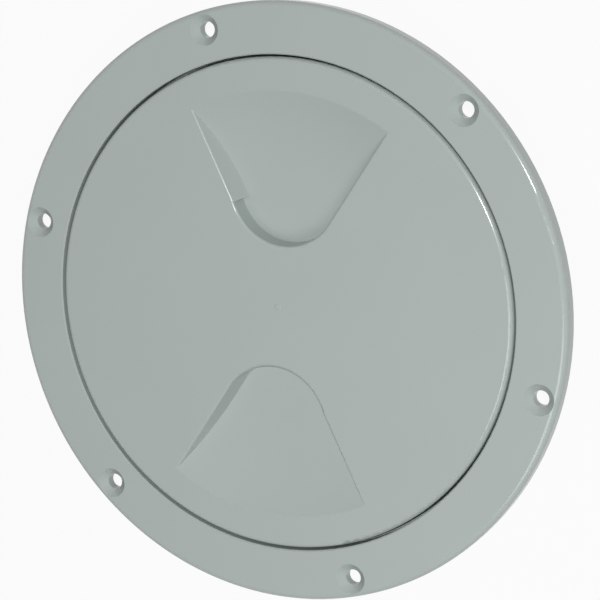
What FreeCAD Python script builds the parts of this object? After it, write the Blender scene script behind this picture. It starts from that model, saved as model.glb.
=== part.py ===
import FreeCAD, Part
import math
import os
import Sketcher

# Deck inspection plate of the 150 mm class: a ring that is screwed down on a boat's deck, a lid that
# screws into it flush, and the rubber seal that the lid squeezes on the ring's seat.
# The ring's axis is Z, and the deck's surface is the plane Z = 0.

# Driving dimensions, in millimetres and degrees.
SIZES = {
    # Flange of the ring, from the deck up
    "flange_radius": 97.5,
    "flange_width": 16.8,
    "flange_height": 5.5,
    "flange_wall": 2.8,
    "flange_round": 2.0,
    "rim_wall": 2.5,
    "rib_wall": 1.6,
    "rib_count": 24,
    # Screws: six No. 10 countersunk heads
    "screw_inset": 6.3,
    "screw_count": 6,
    "screw_bore": 5.2,
    "head_width": 10.0,
    "head_angle": 90,
    "boss_width": 11.0,
    # Recess for the lid and collar below it
    "lip_bevel": 0.4,
    "seat_width": 3.1,
    "cup_wall": 2.5,
    "collar_wall": 2.6,
    "collar_depth": 14.0,
    # Seal
    "seal_height": 2.4,
    "seal_bevel": 0.6,
    "seal_clearance": 0.35,
    # Lid
    "lid_gap": 0.8,
    "lid_wall": 3.0,
    "lid_round": 1.5,
    "neck_gap": 0.4,
    "neck_clearance": 0.4,
    "skirt_wall": 3.0,
    "skirt_depth": 11.5,
    "skirt_chamfer": 0.8,
    "lid_turn": 70.2,
    # Finger pockets of the lid
    "pocket_angle": 60.0,
    "pocket_margin": 10.5,
    "pocket_near": 19.8,
    "pocket_nose": 18.9,
    "pocket_depth": 6.1,
    "pocket_flat": 38.0,
    "pocket_draft": 6.0,
    "slope_start": 36.5,
    "unscrew_slope": 28.0,
    "tighten_slope": 16.0,
    "pocket_wall": 2.6,
    "mouth_round": 0.9,
    # Right-hand thread between lid and collar
    "thread_pitch": 6.0,
    "thread_turns": 1.25,
    "ridge_height": 2.0,
    "ridge_root": 2.6,
    "ridge_crest": 1.2,
    "thread_clearance": 0.6,
    "flank_clearance": 0.3,
    "thread_start": 3.0,
}

# Cuts run past the faces they open by this much.
OVERRUN = 1.0
# A thread's root is sunk this far into the wall that carries it.
SINK = 0.3
# Places closer than this are the same.
NEAR = 1e-4
# How far a cut's volume may be from the one worked out for it, as a share.
VOLUME_SLACK = 0.05


class Size:
    """A length or angle with the formula that ties it to the sheet."""

    def __init__(self, value, formula):
        self.value = float(value)
        self.formula = formula

    def combined(self, other, sign, result):
        return Size(result, "(%s %s %s)" % (self.formula, sign, other.formula))

    def __add__(self, other):
        other = as_size(other)
        return self.combined(other, "+", self.value + other.value)

    def __sub__(self, other):
        other = as_size(other)
        return self.combined(other, "-", self.value - other.value)

    def __mul__(self, other):
        other = as_size(other)
        return self.combined(other, "*", self.value * other.value)

    def __rmul__(self, other):
        return as_size(other) * self

    def __truediv__(self, other):
        other = as_size(other)
        return self.combined(other, "/", self.value / other.value)

    def __neg__(self):
        return Size(-self.value, "(0 - %s)" % self.formula)


def as_size(number):
    return number if isinstance(number, Size) else Size(number, repr(float(number)))


def size(name):
    return Size(SIZES[name], "sizes." + name)


def sine(angle):
    """The sine of an angle in degrees."""
    return Size(math.sin(math.radians(angle.value)), "sin(%s * 1 deg)" % angle.formula)


def tangent(angle):
    """The tangent of an angle in degrees."""
    return Size(math.tan(math.radians(angle.value)), "tan(%s * 1 deg)" % angle.formula)


def make_sheet(doc):
    """The sheet that holds the driving dimensions."""
    sheet = doc.addObject("Spreadsheet::Sheet", "sizes")
    for row, (name, value) in enumerate(SIZES.items(), start=1):
        sheet.set("A%d" % row, name)
        sheet.set("B%d" % row, str(value))
        sheet.setAlias("B%d" % row, name)
    doc.recompute()
    return sheet


def new_body(doc, name):
    body = doc.addObject("PartDesign::Body", name)
    body.Label = name
    return body


def origin_feature(body, role):
    """An origin plane or axis of the body itself."""
    for feature in body.Origin.OriginFeatures:
        if feature.Role == role:
            return feature
    raise LookupError(role)


def new_sketch(body, name, role, height=None):
    """A sketch on one of the body's origin planes, raised by height where it is given."""
    sketch = body.newObject("Sketcher::SketchObject", name)
    sketch.AttachmentSupport = [(origin_feature(body, role), "")]
    sketch.MapMode = "FlatFace"
    if height is not None:
        sketch.AttachmentOffset = FreeCAD.Placement(
            FreeCAD.Vector(0, 0, height.value), FreeCAD.Rotation()
        )
        sketch.setExpression(".AttachmentOffset.Base.z", height.formula)
    return sketch


def hold(sketch, kind, *where, to):
    """A dimension of the sketch, tied to its formula."""
    index = sketch.addConstraint(Sketcher.Constraint(kind, *where, to.value))
    sketch.setExpression("Constraints[%d]" % index, to.formula)


def hold_point(sketch, edge, end, x, y):
    """Fixes the start (end=1), finish (end=2) or centre (end=3) of an edge at x, y."""
    hold(sketch, "DistanceX", -1, 1, edge, end, to=as_size(x))
    hold(sketch, "DistanceY", -1, 1, edge, end, to=as_size(y))


def draw_polygon(sketch, points):
    """A closed outline of straight edges through points whose places are formulas."""
    places = [FreeCAD.Vector(as_size(x).value, as_size(y).value, 0) for x, y in points]
    first = sketch.GeometryCount
    count = len(places)
    for k in range(count):
        sketch.addGeometry(Part.LineSegment(places[k], places[(k + 1) % count]), False)
    for k in range(count):
        hold_point(sketch, first + k, 1, *points[k])
    for k in range(count):
        after = first + (k + 1) % count
        sketch.addConstraint(Sketcher.Constraint("Coincident", first + k, 2, after, 1))


def draw_circle(sketch, x, y, radius):
    centre = FreeCAD.Vector(as_size(x).value, as_size(y).value, 0)
    circle = Part.Circle(centre, FreeCAD.Vector(0, 0, 1), radius.value)
    edge = sketch.addGeometry(circle, False)
    hold_point(sketch, edge, 3, x, y)
    hold(sketch, "Radius", edge, to=radius)


def turn_sketch(sketch, angle, axis):
    """Turns a sketch about an axis of its own plane's frame through the origin."""
    turned = FreeCAD.Rotation(axis, angle.value)
    sketch.AttachmentOffset = FreeCAD.Placement(sketch.AttachmentOffset.Base, turned)
    sketch.setExpression(".AttachmentOffset.Rotation.Angle", angle.formula)


def hold_angle(sketch, line, angle):
    """The direction of a line from the sketch's X axis, in degrees."""
    index = sketch.addConstraint(Sketcher.Constraint("Angle", line, math.radians(angle.value)))
    sketch.setExpression("Constraints[%d]" % index, "%s * 1 deg" % angle.formula)


def revolve(body, name, sketch, kind="PartDesign::Revolution"):
    """A full turn of the sketch about the body's Z axis, added or (Groove) cut away."""
    feature = body.newObject(kind, name)
    feature.Profile = sketch
    feature.ReferenceAxis = (origin_feature(body, "Z_Axis"), [""])
    feature.Angle = 360
    return feature


def pad(body, name, sketch, length, down=False):
    feature = body.newObject("PartDesign::Pad", name)
    feature.Profile = sketch
    feature.Reversed = down
    feature.setExpression("Length", length.formula)
    return feature


def repeat_round(body, name, feature, count):
    """Copies of one feature, evenly round the Z axis."""
    pattern = body.newObject("PartDesign::PolarPattern", name)
    pattern.Originals = [feature]
    pattern.Axis = (origin_feature(body, "Z_Axis"), [""])
    pattern.Angle = 360
    pattern.setExpression("Occurrences", count.formula)
    body.Tip = pattern
    return pattern


def combine(body, name, kind, tool):
    """Joins a tool body to the body (Fuse) or takes it away (Cut)."""
    feature = body.newObject("PartDesign::Boolean", name)
    feature.Type = kind
    feature.setObjects([tool])
    body.Tip = feature
    return feature


def edges_where(feature, wanted):
    """The names of the feature's edges that the test accepts."""
    edges = feature.Shape.Edges
    return ["Edge%d" % (k + 1) for k, edge in enumerate(edges) if wanted(edge)]


def faces_where(feature, wanted):
    """The names of the feature's faces that the test accepts."""
    faces = feature.Shape.Faces
    return ["Face%d" % (k + 1) for k, face in enumerate(faces) if wanted(face)]


def middle_of(edge):
    return edge.valueAt((edge.FirstParameter + edge.LastParameter) / 2)


def from_axis(place):
    return math.hypot(place.x, place.y)


def levelness(face, place):
    """How level a face is at a place on it: 0 for an upright wall, 1 for a floor."""
    return abs(face.normalAt(*face.Surface.parameter(place)).z)


def ring_edge(radius, height):
    """A test for the round edge about the Z axis at a radius and height."""

    def wanted(edge):
        curve = edge.Curve
        if not isinstance(curve, Part.Circle):
            return False
        return (
            abs(curve.Radius - radius.value) < NEAR
            and abs(curve.Center.z - height.value) < NEAR
            and from_axis(curve.Center) < NEAR
        )

    return wanted


def dress(doc, body, kind, name, feature, wanted, measure):
    """A fillet or chamfer on the feature's edges that the test accepts."""
    doc.recompute()
    names = edges_where(feature, wanted)
    if not names:
        raise ValueError("no edge for " + name)
    dressed = body.newObject("PartDesign::" + kind, name)
    dressed.Base = (feature, names)
    dressed.setExpression("Radius" if kind == "Fillet" else "Size", measure.formula)
    body.Tip = dressed
    return dressed


def check_removed(before, feature, expected):
    """Stops where a cut took away a clearly different volume than it should have."""
    removed = before - feature.Shape.Volume
    if abs(removed - expected) > VOLUME_SLACK * expected:
        raise ValueError("%s took %.1f, not %.1f" % (feature.Name, removed, expected))


# Heights and radii that several pieces share
TOP = size("flange_height")
DECK = as_size(0)
LID_UNDERSIDE = TOP - size("lid_wall")
SEAT = LID_UNDERSIDE - size("seal_height")
LIP_RADIUS = size("flange_radius") - size("flange_width")
SCREW_CIRCLE = size("flange_radius") - size("screw_inset")
CUP_RADIUS = LIP_RADIUS + size("cup_wall")
THREAD_BORE = LIP_RADIUS - size("seat_width")
COLLAR_RADIUS = THREAD_BORE + size("collar_wall")
COLLAR_FOOT = -size("collar_depth")
LID_RADIUS = LIP_RADIUS - size("lid_gap")
POCKET_REACH = LID_RADIUS - size("pocket_margin")
POCKET_CENTRE = size("pocket_near") + size("pocket_nose")
POCKET_SIDE = POCKET_CENTRE * sine(size("pocket_angle") / 2) - size("pocket_nose")
RAMP_RUN = POCKET_REACH - size("pocket_flat")
RAMP_RADIUS = (RAMP_RUN * RAMP_RUN / size("pocket_depth") + size("pocket_depth")) / 2
NECK_RADIUS = THREAD_BORE - size("neck_gap")
SKIRT_RADIUS = THREAD_BORE - size("ridge_height") - size("thread_clearance")
SKIRT_FOOT = -size("skirt_depth")

# Middles of the thread ridges' lower ends. The collar's ridge ends thread_start below the deck, and
# the lid's ridge hangs under it with the flank clearance between them.
THREAD_RISE = size("thread_pitch") * size("thread_turns")
COLLAR_RIDGE = -size("thread_start") - THREAD_RISE
LID_RIDGE = SKIRT_FOOT + size("skirt_chamfer") + size("ridge_root") / 2
RIDGE_STEP = (size("ridge_root") + size("ridge_crest")) / 2 + size("flank_clearance")
LID_RIDGE_TURN = (LID_RIDGE + RIDGE_STEP - COLLAR_RIDGE) * 360 / size("thread_pitch")


def wind_thread(body, name, sketch, root, crest, middle):
    """A right-hand ridge wound up the Z axis from its section at the sketch's place."""
    half_root = size("ridge_root") / 2
    half_crest = size("ridge_crest") / 2
    draw_polygon(
        sketch,
        [
            (root, middle - half_root),
            (crest, middle - half_crest),
            (crest, middle + half_crest),
            (root, middle + half_root),
        ],
    )
    helix = body.newObject("PartDesign::AdditiveHelix", name)
    helix.Profile = sketch
    helix.ReferenceAxis = (origin_feature(body, "Z_Axis"), [""])
    helix.Mode = "pitch-turns-angle"
    helix.LeftHanded = False
    helix.setExpression("Pitch", "sizes.thread_pitch")
    helix.setExpression("Turns", "sizes.thread_turns")
    body.Tip = helix
    return helix


def make_frame_ring(doc):
    """Flange, recess for the lid, seat, collar with its inside thread, and screw holes."""
    body = new_body(doc, "frame_ring")
    under = TOP - size("flange_wall")
    channel = size("flange_radius") - size("rim_wall")
    cup_bottom = SEAT - size("cup_wall")

    section = new_sketch(body, "ring_section", "XZ_Plane")
    draw_polygon(
        section,
        [
            (LIP_RADIUS, TOP),
            (size("flange_radius"), TOP),
            (size("flange_radius"), DECK),
            (channel, DECK),
            (channel, under),
            (CUP_RADIUS, under),
            (CUP_RADIUS, cup_bottom),
            (COLLAR_RADIUS, cup_bottom),
            (COLLAR_RADIUS, COLLAR_FOOT),
            (THREAD_BORE, COLLAR_FOOT),
            (THREAD_BORE, SEAT),
            (LIP_RADIUS, SEAT),
        ],
    )
    turned = revolve(body, "ring_turned", section)
    edge = ring_edge(size("flange_radius"), TOP)
    rounded = dress(doc, body, "Fillet", "flange_edge", turned, edge, size("flange_round"))
    edge = ring_edge(LIP_RADIUS, TOP)
    dress(doc, body, "Chamfer", "lip_edge", rounded, edge, size("lip_bevel"))

    # Bosses from the deck to the flange's wall, and ribs across the channel between them
    boss_sketch = new_sketch(body, "boss_outline", "XY_Plane")
    draw_circle(boss_sketch, 0, SCREW_CIRCLE, size("boss_width") / 2)
    boss = pad(body, "boss", boss_sketch, under + OVERRUN)
    repeat_round(body, "bosses", boss, size("screw_count"))

    rib_sketch = new_sketch(body, "rib_outline", "XY_Plane")
    half_rib = size("rib_wall") / 2
    rib_inner = CUP_RADIUS - OVERRUN
    rib_outer = channel + OVERRUN
    draw_polygon(
        rib_sketch,
        [
            (-half_rib, rib_inner),
            (half_rib, rib_inner),
            (half_rib, rib_outer),
            (-half_rib, rib_outer),
        ],
    )
    turn_sketch(rib_sketch, as_size(180) / size("rib_count"), FreeCAD.Vector(0, 0, 1))
    rib = pad(body, "rib", rib_sketch, under + OVERRUN)
    ribs = repeat_round(body, "ribs", rib, size("rib_count"))
    doc.recompute()

    # Countersunk screw holes
    hole_sketch = new_sketch(body, "hole_centre", "XY_Plane", TOP)
    draw_circle(hole_sketch, 0, SCREW_CIRCLE, size("screw_bore") / 2)
    doc.recompute()
    before = ribs.Shape.Volume
    hole = body.newObject("PartDesign::Hole", "screw_hole")
    hole.Profile = hole_sketch
    hole.Threaded = False
    hole.DepthType = "ThroughAll"
    hole.HoleCutType = "Countersink"
    hole.HoleCutCustomValues = True
    hole.setExpression("Diameter", size("screw_bore").formula)
    hole.setExpression("HoleCutDiameter", size("head_width").formula)
    hole.setExpression("HoleCutCountersinkAngle", size("head_angle").formula)
    holes = repeat_round(body, "screw_holes", hole, size("screw_count"))
    doc.recompute()
    check_removed(before, holes, size("screw_count").value * screw_hole_volume())

    ridge = new_sketch(body, "collar_ridge", "XZ_Plane")
    crest = THREAD_BORE - size("ridge_height")
    wind_thread(body, "collar_thread", ridge, THREAD_BORE + SINK, crest, COLLAR_RIDGE)
    return body


def screw_hole_volume():
    """What one countersunk hole takes out of the flange and its boss."""
    bore = size("screw_bore").value / 2
    head = size("head_width").value / 2
    sink = (head - bore) / math.tan(math.radians(size("head_angle").value / 2))
    cone = math.pi * sink * (head * head + head * bore + bore * bore) / 3
    return cone + math.pi * bore * bore * (TOP.value - sink)


def draw_pocket_outline(sketch, grow, reach):
    """A sector with a round nose towards the axis and straight sides, grown by grow all round."""
    half = size("pocket_angle") / 2
    nose = size("pocket_nose") + grow

    # Rough places for the solver to start from; the constraints below set the true ones
    slope = math.radians(half.value)
    touch_x = POCKET_CENTRE.value - nose.value * math.sin(slope)
    touch_y = nose.value * math.cos(slope)
    far_x = reach.value * math.cos(slope)
    far_y = reach.value * math.sin(slope)
    flat = FreeCAD.Vector(0, 0, 1)
    nose_circle = Part.Circle(FreeCAD.Vector(POCKET_CENTRE.value, 0, 0), flat, nose.value)
    reach_circle = Part.Circle(FreeCAD.Vector(), flat, reach.value)
    upper = sketch.addGeometry(
        Part.LineSegment(FreeCAD.Vector(touch_x, touch_y, 0), FreeCAD.Vector(far_x, far_y, 0)), False
    )
    lower = sketch.addGeometry(
        Part.LineSegment(FreeCAD.Vector(touch_x, -touch_y, 0), FreeCAD.Vector(far_x, -far_y, 0)), False
    )
    far = sketch.addGeometry(Part.ArcOfCircle(reach_circle, -slope, slope), False)
    round_nose = sketch.addGeometry(
        Part.ArcOfCircle(nose_circle, math.pi / 2 + slope, 3 * math.pi / 2 - slope), False
    )

    sketch.addConstraint(Sketcher.Constraint("Coincident", far, 3, -1, 1))
    sketch.addConstraint(Sketcher.Constraint("PointOnObject", round_nose, 3, -1))
    sketch.addConstraint(Sketcher.Constraint("Tangent", upper, 1, round_nose, 1))
    sketch.addConstraint(Sketcher.Constraint("Tangent", lower, 1, round_nose, 2))
    sketch.addConstraint(Sketcher.Constraint("Coincident", upper, 2, far, 2))
    sketch.addConstraint(Sketcher.Constraint("Coincident", lower, 2, far, 1))
    hold(sketch, "DistanceX", -1, 1, round_nose, 3, to=POCKET_CENTRE)
    hold(sketch, "Radius", round_nose, to=nose)
    hold(sketch, "Radius", far, to=reach)
    hold_angle(sketch, upper, half)
    hold_angle(sketch, lower, -half)


def arc_between(centre, start, finish):
    """A counter-clockwise arc about the centre."""
    first = start - centre
    last = finish - centre
    circle = Part.Circle(centre, FreeCAD.Vector(0, 0, 1), first.Length)
    return Part.ArcOfCircle(circle, math.atan2(first.y, first.x), math.atan2(last.y, last.x))


def draw_ramp(sketch, floor, grow, rim, above, past, low):
    """The region under a pocket's floor: level near the axis, then an arc that rises to the rim."""
    start = size("pocket_near") / 2
    flat = size("pocket_flat")
    ramp = RAMP_RADIUS + grow
    centre = FreeCAD.Vector(flat.value, floor.value + ramp.value, 0)
    end = centre.x + math.sqrt(ramp.value ** 2 - (centre.y - rim.value) ** 2)
    places = [
        FreeCAD.Vector(start.value, floor.value, 0),
        FreeCAD.Vector(flat.value, floor.value, 0),
        FreeCAD.Vector(end, rim.value, 0),
        FreeCAD.Vector(end, above.value, 0),
        FreeCAD.Vector(past.value, above.value, 0),
        FreeCAD.Vector(past.value, low.value, 0),
        FreeCAD.Vector(start.value, low.value, 0),
    ]
    level = sketch.addGeometry(Part.LineSegment(places[0], places[1]), False)
    rise = sketch.addGeometry(arc_between(centre, places[1], places[2]), False)
    lines = []
    for first, last in zip(places[2:], places[3:] + places[:1]):
        lines.append(sketch.addGeometry(Part.LineSegment(first, last), False))
    hold_point(sketch, level, 1, start, floor)
    hold_point(sketch, level, 2, flat, floor)
    hold(sketch, "Radius", rise, to=ramp)
    sketch.addConstraint(Sketcher.Constraint("Tangent", level, 2, rise, 1))
    for edge, after in zip([rise] + lines, lines + [level]):
        sketch.addConstraint(Sketcher.Constraint("Coincident", edge, 2, after, 1))
    hold(sketch, "DistanceY", -1, 1, rise, 2, to=rim)
    sketch.addConstraint(Sketcher.Constraint("Vertical", lines[0]))
    hold_point(sketch, lines[1], 2, past, above)
    sketch.addConstraint(Sketcher.Constraint("Horizontal", lines[1]))
    hold_point(sketch, lines[3], 1, past, low)
    hold_point(sketch, lines[4], 1, start, low)


def slope_wall(body, name, side, slope, grow, low):
    """Leans one straight wall of a pocket from its mouth towards its floor.

    side is 1 for the wall that a finger pushes to unscrew the lid, and -1 for the other one. The
    first begins with a step in the wall, and the second runs out into the round nose.
    """
    crown = TOP + 2 * OVERRUN
    inner = POCKET_SIDE - 2 * OVERRUN * tangent(slope) - grow
    foot = inner + (crown - low) * tangent(slope)
    clear = grow + 4 * OVERRUN
    along = [-(POCKET_REACH + clear), -(size("slope_start") + grow)]
    if side < 0:
        along = [size("pocket_near"), POCKET_REACH + clear]

    wedge = body.newObject("PartDesign::SubtractiveWedge", name)
    wedge.AttachmentSupport = [(origin_feature(body, "XZ_Plane"), "")]
    wedge.MapMode = "FlatFace"
    turn = size("lid_turn") + side * (size("pocket_angle") / 2 - 90)
    turn_sketch(wedge, turn, FreeCAD.Vector(0, 1, 0))
    extents = {
        "Xmin": -clear,
        "Xmax": foot,
        "X2min": -clear,
        "X2max": inner,
        "Ymin": low,
        "Ymax": crown,
        "Zmin": along[0],
        "Zmax": along[1],
        "Z2min": along[0],
        "Z2max": along[1],
    }
    for extent, place in extents.items():
        wedge.setExpression(extent, place.formula)
    body.Tip = wedge


def make_pockets(doc, name, grow, top, rim):
    """Both finger pockets as solids, grown by grow: their hollows, or the blocks that hold them.

    top is the height that they start from, and rim the height at which their floor ends.
    """
    body = new_body(doc, name)
    floor = TOP - size("pocket_depth") - grow
    low = floor - OVERRUN
    past = POCKET_REACH + grow + 4 * OVERRUN

    outline = new_sketch(body, name + "_outline", "XY_Plane", top)
    flare = (top - TOP) * tangent(size("pocket_draft"))
    draw_pocket_outline(outline, grow + flare, POCKET_REACH + grow + OVERRUN)
    turn_sketch(outline, size("lid_turn"), FreeCAD.Vector(0, 0, 1))
    block = pad(body, name + "_block", outline, top - floor + OVERRUN / 2, down=True)
    doc.recompute()

    def is_wall(face):
        far = from_axis(face.CenterOfMass) > POCKET_REACH.value
        return levelness(face, face.CenterOfMass) < NEAR and not far

    def is_top(face):
        return abs(face.CenterOfMass.z - top.value) < NEAR

    drafted = body.newObject("PartDesign::Draft", name + "_draft")
    drafted.Base = (block, faces_where(block, is_wall))
    drafted.NeutralPlane = (block, faces_where(block, is_top))
    drafted.Reversed = True
    drafted.setExpression("Angle", "sizes.pocket_draft")
    doc.recompute()
    if drafted.Shape.Volume >= block.Shape.Volume:
        raise ValueError("the walls of %s open downward" % name)

    slope_wall(body, name + "_unscrew", 1, size("unscrew_slope"), grow, low)
    slope_wall(body, name + "_tighten", -1, size("tighten_slope"), grow, low)

    ramp = new_sketch(body, name + "_ramp", "XZ_Plane")
    draw_ramp(ramp, floor, grow, rim, top + OVERRUN, past, low - OVERRUN)
    ended = revolve(body, name + "_floor", ramp, "PartDesign::Groove")
    doc.recompute()
    pair = repeat_round(body, name + "_pair", ended, as_size(2))
    pair.TransformMode = "Whole shape"
    doc.recompute()
    if len(pair.Shape.Solids) != 2:
        raise ValueError("%s holds %d solids" % (name, len(pair.Shape.Solids)))
    return body


def make_screw_lid(doc):
    """Disc with finger pockets, neck for the seal, and skirt with its outside thread."""
    wall = size("pocket_wall")
    inside_disc = TOP - size("lid_wall") / 2
    blocks = make_pockets(doc, "pocket_block", wall, inside_disc, inside_disc)
    hollows = make_pockets(doc, "pocket_hollow", as_size(0), TOP + OVERRUN, TOP)

    body = new_body(doc, "screw_lid")
    neck_foot = SEAT + size("neck_clearance")
    skirt_inner = SKIRT_RADIUS - size("skirt_wall")
    section = new_sketch(body, "lid_section", "XZ_Plane")
    draw_polygon(
        section,
        [
            (0, TOP),
            (LID_RADIUS, TOP),
            (LID_RADIUS, LID_UNDERSIDE),
            (NECK_RADIUS, LID_UNDERSIDE),
            (NECK_RADIUS, neck_foot),
            (SKIRT_RADIUS, neck_foot),
            (SKIRT_RADIUS, SKIRT_FOOT),
            (skirt_inner, SKIRT_FOOT),
            (skirt_inner, LID_UNDERSIDE),
            (0, LID_UNDERSIDE),
        ],
    )
    turned = revolve(body, "lid_turned", section)
    edge = ring_edge(LID_RADIUS, TOP)
    rounded = dress(doc, body, "Fillet", "lid_edge", turned, edge, size("lid_round"))
    edge = ring_edge(SKIRT_RADIUS, SKIRT_FOOT)
    dress(doc, body, "Chamfer", "skirt_lead", rounded, edge, size("skirt_chamfer"))

    combine(body, "pocket_walls", "Fuse", blocks)
    doc.recompute()
    before = body.Shape.Volume
    opened = combine(body, "pocket_space", "Cut", hollows)
    doc.recompute()
    above = OVERRUN * (2 * pocket_mouth_area())
    check_removed(before, opened, hollows.Shape.Volume - above)

    def is_mouth(edge):
        place = middle_of(edge)
        return abs(place.z - TOP.value) < NEAR and from_axis(place) < POCKET_REACH.value + NEAR

    dress(doc, body, "Fillet", "mouth_edge", opened, is_mouth, size("mouth_round"))

    ridge = new_sketch(body, "lid_ridge", "XZ_Plane")
    turn_sketch(ridge, LID_RIDGE_TURN, FreeCAD.Vector(0, 1, 0))
    crest = SKIRT_RADIUS + size("ridge_height")
    wind_thread(body, "lid_thread", ridge, SKIRT_RADIUS - SINK, crest, LID_RIDGE)
    return body


def pocket_mouth_area():
    """The area of one pocket's mouth: a sector less what its round nose leaves of the tip."""
    half = math.radians(size("pocket_angle").value / 2)
    nose = size("pocket_nose").value
    centre = POCKET_CENTRE.value
    touch_x = centre - nose * math.sin(half)
    touch_y = nose * math.cos(half)
    tip = touch_x * touch_y
    cap = nose * nose * (math.pi / 2 - half) - touch_y * (centre - touch_x)
    return half * POCKET_REACH.value ** 2 - tip + cap


def make_seal_ring(doc):
    """The rubber ring between the lid and the seat, squared with bevelled corners."""
    body = new_body(doc, "seal_ring")
    inner = NECK_RADIUS + size("seal_clearance")
    outer = LIP_RADIUS - size("seal_clearance")
    bevel = size("seal_bevel")
    section = new_sketch(body, "seal_section", "XZ_Plane")
    draw_polygon(
        section,
        [
            (inner + bevel, SEAT),
            (outer - bevel, SEAT),
            (outer, SEAT + bevel),
            (outer, LID_UNDERSIDE - bevel),
            (outer - bevel, LID_UNDERSIDE),
            (inner + bevel, LID_UNDERSIDE),
            (inner, LID_UNDERSIDE - bevel),
            (inner, SEAT + bevel),
        ],
    )
    revolve(body, "seal_turned", section)
    return body


def check_model(doc, bodies):
    """Stops on any failed object, and on a piece that isn't one sound solid."""
    for item in doc.Objects:
        if "Invalid" in item.State or "Error" in item.State:
            raise ValueError("%s failed: %s" % (item.Name, item.getStatusString()))
    for body in bodies:
        shape = body.Shape
        if shape.isNull() or not shape.isValid() or len(shape.Solids) != 1:
            raise ValueError("%s isn't one valid solid" % body.Label)


def main():
    os.makedirs("parts", exist_ok=True)
    doc = FreeCAD.newDocument("deck_inspection_plate")
    make_sheet(doc)
    bodies = [make_frame_ring(doc), make_screw_lid(doc), make_seal_ring(doc)]
    doc.recompute()
    check_model(doc, bodies)
    for body in bodies:
        body.Shape.exportStep("parts/%s.step" % body.Label)


main()
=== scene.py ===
import bpy
import math
from mathutils import Matrix, Vector

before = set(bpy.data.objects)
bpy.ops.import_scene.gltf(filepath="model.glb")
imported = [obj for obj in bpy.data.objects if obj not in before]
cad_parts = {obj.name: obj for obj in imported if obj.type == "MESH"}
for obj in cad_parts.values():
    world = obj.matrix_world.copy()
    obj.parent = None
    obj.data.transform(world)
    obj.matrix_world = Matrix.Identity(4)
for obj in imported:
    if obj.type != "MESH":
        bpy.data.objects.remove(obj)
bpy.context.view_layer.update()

# Heights in metres: the face of the plate, and the floor just under the collar's lower edge.
TOP = 0.0055
FLOOR = -0.0142

WHITE = (1, 1, 1, 1)

# The moulded plastic. Clouds and specks change its colour by no more than these factors, and the specks
# are mixed in by no more than their share.
PLASTIC = (0.372, 0.418, 0.398)
CLOUD_DARK = 0.972
CLOUD_LIGHT = 1.028
SPECK_LIGHT = 1.3
SPECK_SHARE = 0.06
# Its roughness, and how far that wanders to each side.
GLOSS = 0.16
GLOSS_SPREAD = 0.03
PLASTIC_IOR = 1.54
# Radius of the gate's mark in metres, and the share of it that is level.
GATE_RADIUS = 0.0012
GATE_LEVEL = 0.6

# The rubber, the factors by which its bloom changes the colour, and its lowest and highest roughness.
RUBBER = (0.020, 0.021, 0.022)
BLOOM_DARK = 0.85
BLOOM_LIGHT = 1.5
RUBBER_SMOOTH = 0.55
RUBBER_ROUGH = 0.75

# The floor. Where it is seen, the shadow's share is its own shading and the rest is plain white.
FLOOR_COLOUR = (0.5, 0.5, 0.5, 1)
FLOOR_ROUGHNESS = 0.9
FLOOR_SHADOW = 0.07
FLOOR_WIDTH = 6
# Light that the room sheds on the object besides its reflections, where 1 is a white room's.
FILL = 0.20

# Place and target in metres, roll in degrees, lens and sensor in millimetres.
CAMERA_PLACE = (0.3353, 0.04794, 0.62955)
CAMERA_TARGET = (0.00838, 0.00059, 0.00545)
CAMERA_ROLL = -112.18
CAMERA_LENS = 133.03
CAMERA_SENSOR = 36

scene = bpy.context.scene
scene.view_settings.view_transform = "Standard"


class Nodes:
    """Shorthand for the nodes of one material or world."""

    def __init__(self, owner):
        owner.use_nodes = True
        self.tree = owner.node_tree

    def add(self, kind, inputs=None, **settings):
        """A new node. An input is a value, or the socket that feeds it."""
        node = self.tree.nodes.new(kind)
        for name, value in settings.items():
            setattr(node, name, value)
        for name, value in (inputs or {}).items():
            if isinstance(value, bpy.types.NodeSocket):
                self.link(value, node.inputs[name])
            else:
                node.inputs[name].default_value = value
        return node

    def link(self, output, socket):
        self.tree.links.new(output, socket)

    def find(self, name):
        return self.tree.nodes[name]

    def place(self):
        """The point that is shaded, in the object's own space."""
        return self.add("ShaderNodeTexCoord").outputs["Object"]

    def noise(self, size, detail=2.0, roughness=0.5):
        """Noise over the object's own space, with features about size metres across."""
        inputs = {"Vector": self.place(), "Scale": 1 / size, "Detail": detail, "Roughness": roughness}
        return self.add("ShaderNodeTexNoise", inputs).outputs["Fac"]

    def remap(self, value, low, high, start=0.0, end=1.0):
        """A value that goes from low to high while the one given goes from start to end."""
        inputs = {"Value": value, "From Min": start, "From Max": end, "To Min": low, "To Max": high}
        return self.add("ShaderNodeMapRange", inputs).outputs["Result"]

    def mix(self, share, first, second):
        """The first colour, turning to the second as the share goes from 0 to 1."""
        inputs = {"Factor": share, "A": first, "B": second}
        return self.add("ShaderNodeMix", inputs, data_type="RGBA").outputs["Result"]

    def from_axis(self):
        """Distance from the object's own Z axis in metres."""
        flat = self.add("ShaderNodeVectorMath", {0: self.place(), 1: (1, 1, 0)}, operation="MULTIPLY")
        length = self.add("ShaderNodeVectorMath", {0: flat.outputs["Vector"]}, operation="LENGTH")
        return length.outputs["Value"]

    def bump(self, height, strength, distance, under=None):
        """The normal of a height map, laid over the normal of another one where that is given."""
        inputs = {"Height": height, "Strength": strength, "Distance": distance}
        if under is not None:
            inputs["Normal"] = under
        return self.add("ShaderNodeBump", inputs).outputs["Normal"]


def tint(colour, change):
    """A colour made darker or lighter, as a node's socket takes it."""
    return (*[channel * change for channel in colour], 1)


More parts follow.
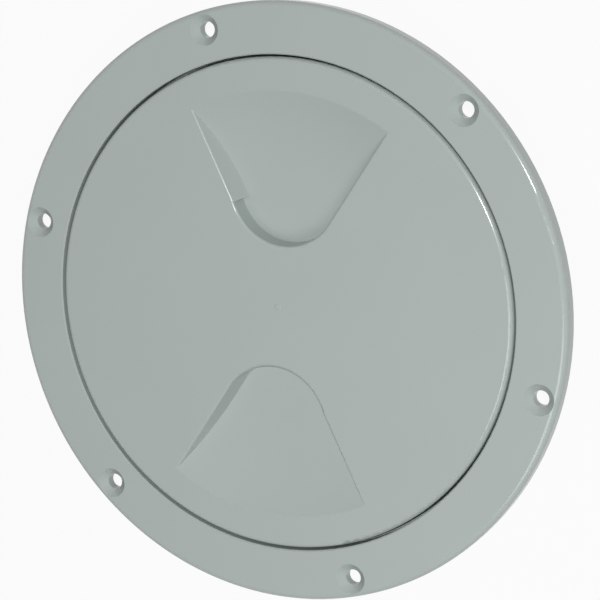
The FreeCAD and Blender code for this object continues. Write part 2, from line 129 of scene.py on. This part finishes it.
def moulded_plastic(name, gated=False):
    """Glossy injection moulded plastic: faint flow clouding, uneven gloss, a fine skin texture and, where
    the mould is filled through the middle, the small raised mark of the gate."""
    material = bpy.data.materials.new(name)
    nodes = Nodes(material)
    shader = nodes.find("Principled BSDF")

    clouds = nodes.noise(size=0.034, detail=3.0, roughness=0.55)
    specks = nodes.noise(size=0.0007, detail=2.0, roughness=0.6)
    clouded = nodes.mix(clouds, tint(PLASTIC, CLOUD_DARK), tint(PLASTIC, CLOUD_LIGHT))
    specked = nodes.mix(nodes.remap(specks, 0.0, SPECK_SHARE), clouded, tint(PLASTIC, SPECK_LIGHT))
    nodes.link(specked, shader.inputs["Base Color"])

    patches = nodes.noise(size=0.009, detail=3.0, roughness=0.6)
    uneven = nodes.remap(patches, GLOSS - GLOSS_SPREAD, GLOSS + GLOSS_SPREAD)
    nodes.link(uneven, shader.inputs["Roughness"])
    shader.inputs["IOR"].default_value = PLASTIC_IOR

    waves = nodes.noise(size=0.012, detail=1.0, roughness=0.4)
    relief = nodes.bump(waves, strength=0.10, distance=0.0002)
    if gated:
        mark = nodes.remap(nodes.from_axis(), 1.0, 0.0, start=GATE_RADIUS * GATE_LEVEL, end=GATE_RADIUS)
        relief = nodes.bump(mark, strength=0.6, distance=0.00025, under=relief)
    skin = nodes.noise(size=0.00035, detail=2.0, roughness=0.5)
    relief = nodes.bump(skin, strength=0.12, distance=0.00002, under=relief)
    nodes.link(relief, shader.inputs["Normal"])
    return material


def rubber(name):
    """Dark matt rubber with a fine moulded grain and a faint dusty bloom."""
    material = bpy.data.materials.new(name)
    nodes = Nodes(material)
    shader = nodes.find("Principled BSDF")

    bloom = nodes.noise(size=0.004, detail=4.0, roughness=0.65)
    dusty = nodes.mix(bloom, tint(RUBBER, BLOOM_DARK), tint(RUBBER, BLOOM_LIGHT))
    nodes.link(dusty, shader.inputs["Base Color"])
    patches = nodes.noise(size=0.002, detail=3.0)
    nodes.link(nodes.remap(patches, RUBBER_SMOOTH, RUBBER_ROUGH), shader.inputs["Roughness"])
    grain = nodes.noise(size=0.0003, detail=3.0)
    nodes.link(nodes.bump(grain, strength=0.25, distance=0.00004), shader.inputs["Normal"])
    return material


def finish_nodes():
    """Gives each piece of the plate its material."""
    finishes = {
        "frame_ring": moulded_plastic("ring_plastic"),
        "screw_lid": moulded_plastic("lid_plastic", gated=True),
        "seal_ring": rubber("seal_rubber"),
    }
    for name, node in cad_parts.items():
        for slot in node.material_slots:
            slot.material = finishes[name]


def seen_white(nodes):
    """1 for rays that show a thing directly, in a reflection or through glass."""
    path = nodes.add("ShaderNodeLightPath")
    total = path.outputs["Is Camera Ray"]
    for ray in ("Is Glossy Ray", "Is Transmission Ray"):
        larger = nodes.add("ShaderNodeMath", {0: total, 1: path.outputs[ray]}, operation="MAXIMUM")
        total = larger.outputs["Value"]
    return total


def make_floor():
    """A grey floor that shows as white, with a little of its own shading for the shadow."""
    bpy.ops.mesh.primitive_plane_add(size=FLOOR_WIDTH, location=(0, 0, FLOOR))
    floor = bpy.context.object
    floor.name = "floor"
    material = bpy.data.materials.new("floor_white")
    nodes = Nodes(material)
    shader = nodes.find("Principled BSDF")
    shader.inputs["Base Color"].default_value = FLOOR_COLOUR
    shader.inputs["Roughness"].default_value = FLOOR_ROUGHNESS
    glow = nodes.add("ShaderNodeEmission", {"Color": WHITE, "Strength": 1.0})
    share = nodes.remap(seen_white(nodes), 0.0, 1 - FLOOR_SHADOW)
    layers = {0: share, 1: shader.outputs["BSDF"], 2: glow.outputs["Emission"]}
    mixed = nodes.add("ShaderNodeMixShader", layers)
    nodes.link(mixed.outputs["Shader"], nodes.find("Material Output").inputs["Surface"])
    floor.data.materials.append(material)


def make_world():
    """A room that shows and is reflected as white, and otherwise lights the object by the fill."""
    world = bpy.data.worlds.new("studio")
    scene.world = world
    nodes = Nodes(world)
    background = nodes.find("Background")
    background.inputs["Color"].default_value = WHITE
    nodes.link(nodes.remap(seen_white(nodes), FILL, 1.0), background.inputs["Strength"])


def aim(thing, place, target):
    """Puts a lamp or camera at a place, looking at a target."""
    thing.location = place
    look = (Vector(target) - Vector(place)).to_track_quat("-Z", "Y")
    thing.rotation_euler = look.to_euler()
    scene.collection.objects.link(thing)
    return look


def lamp(name, azimuth, elevation, distance, size, power):
    """A round lamp. Angles in degrees and distance in metres start at the middle of the plate's face;
    size is its width in metres and power is in watts."""
    data = bpy.data.lights.new(name, "AREA")
    data.shape = "DISK"
    data.size = size
    data.energy = power
    flat = distance * math.cos(math.radians(elevation))
    place = (flat * math.cos(math.radians(azimuth)), flat * math.sin(math.radians(azimuth)),
             TOP + distance * math.sin(math.radians(elevation)))
    aim(bpy.data.objects.new(name, data), place, (0, 0, TOP))


def make_camera():
    """The camera at the photograph's angle, turned about its own axis as the photograph is."""
    data = bpy.data.cameras.new("camera")
    data.sensor_width = CAMERA_SENSOR
    data.lens = CAMERA_LENS
    camera = bpy.data.objects.new("camera", data)
    look = aim(camera, CAMERA_PLACE, CAMERA_TARGET)
    roll = Matrix.Rotation(math.radians(CAMERA_ROLL), 3, "Z")
    camera.rotation_euler = (look.to_matrix() @ roll).to_euler()
    scene.camera = camera


finish_nodes()
make_camera()
make_floor()
make_world()
lamp("key", azimuth=14, elevation=61, distance=1.6, size=0.1, power=16.0)
lamp("side", azimuth=-66, elevation=58, distance=0.52, size=0.3, power=0.72)
